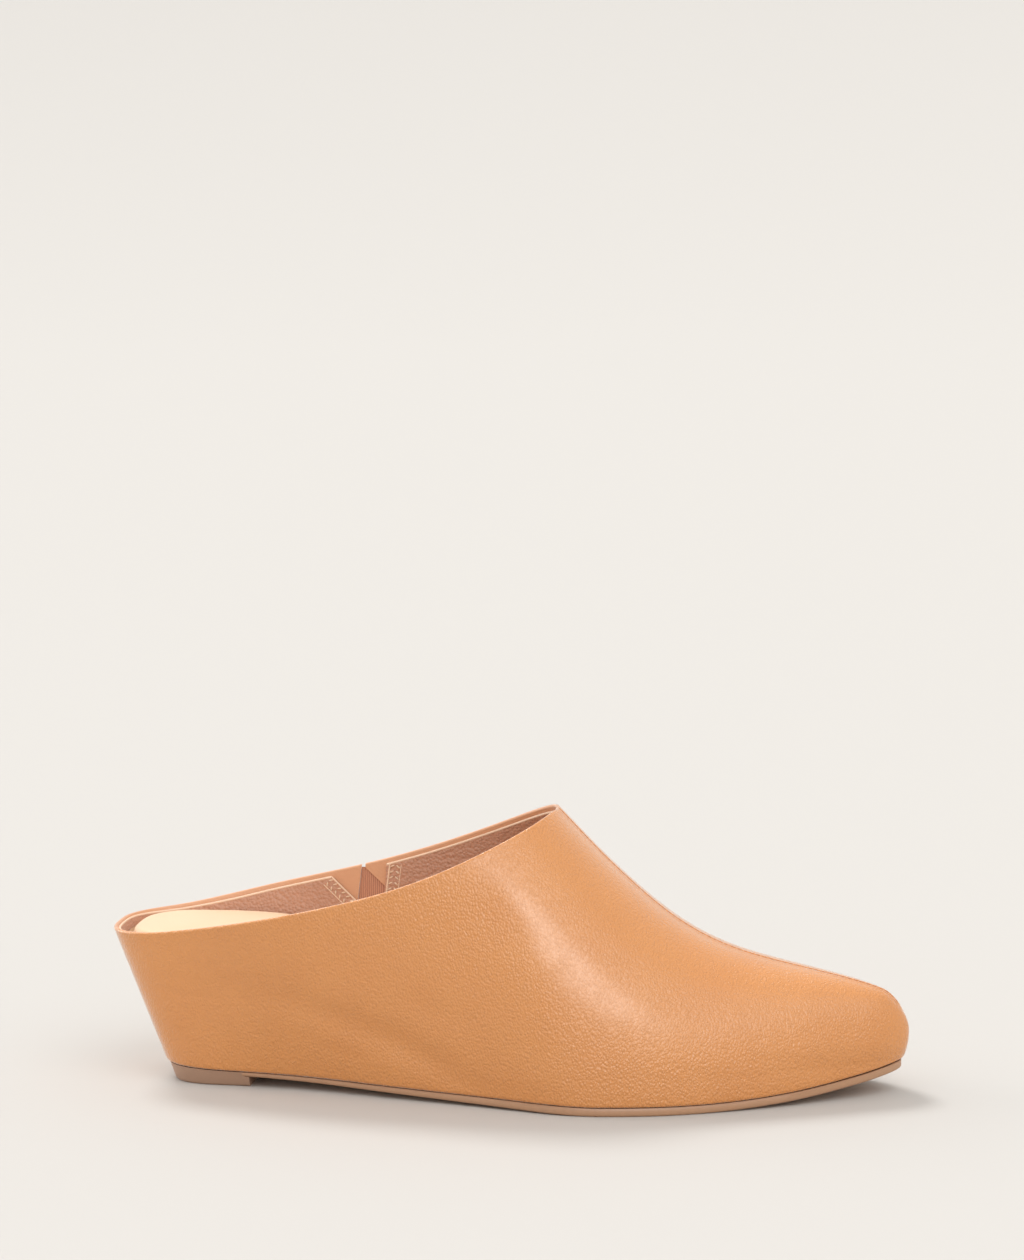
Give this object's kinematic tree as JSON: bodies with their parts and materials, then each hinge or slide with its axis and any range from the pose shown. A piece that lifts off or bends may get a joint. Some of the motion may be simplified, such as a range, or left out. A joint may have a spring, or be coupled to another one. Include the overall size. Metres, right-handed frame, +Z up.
{
  "type": "wedge mule shoe",
  "caption": "Closed-toe, open-back wedge mule in smooth leather, with a low wrapped wedge, an elastic gore in the medial wall, a padded insole and a thin sole with a low heel lift.",
  "frame": {"origin": "centre of the heel lift's bottom face, on the floor", "axes": "+X to the toe, +Y to the medial side of the foot, +Z up"},
  "size_m": [0.254, 0.0795, 0.0897],
  "materials": {
    "upper_leather": "smooth tan nappa leather with a fine grain and a soft sheen",
    "elastic": "ribbed woven elastic",
    "footbed_leather": "soft padded lining leather",
    "wedge_core": "pressed cork, hidden under the leather",
    "sole": "smooth tan sole with a painted edge",
    "lift": "matte brown top piece"
  },
  "bodies": {
    "root": {"upper": "upper_leather", "gore": "elastic", "insole": "footbed_leather", "wedge": "wedge_core", "outsole": "sole", "heel_lift": "lift"}
  },
  "joints": []
}
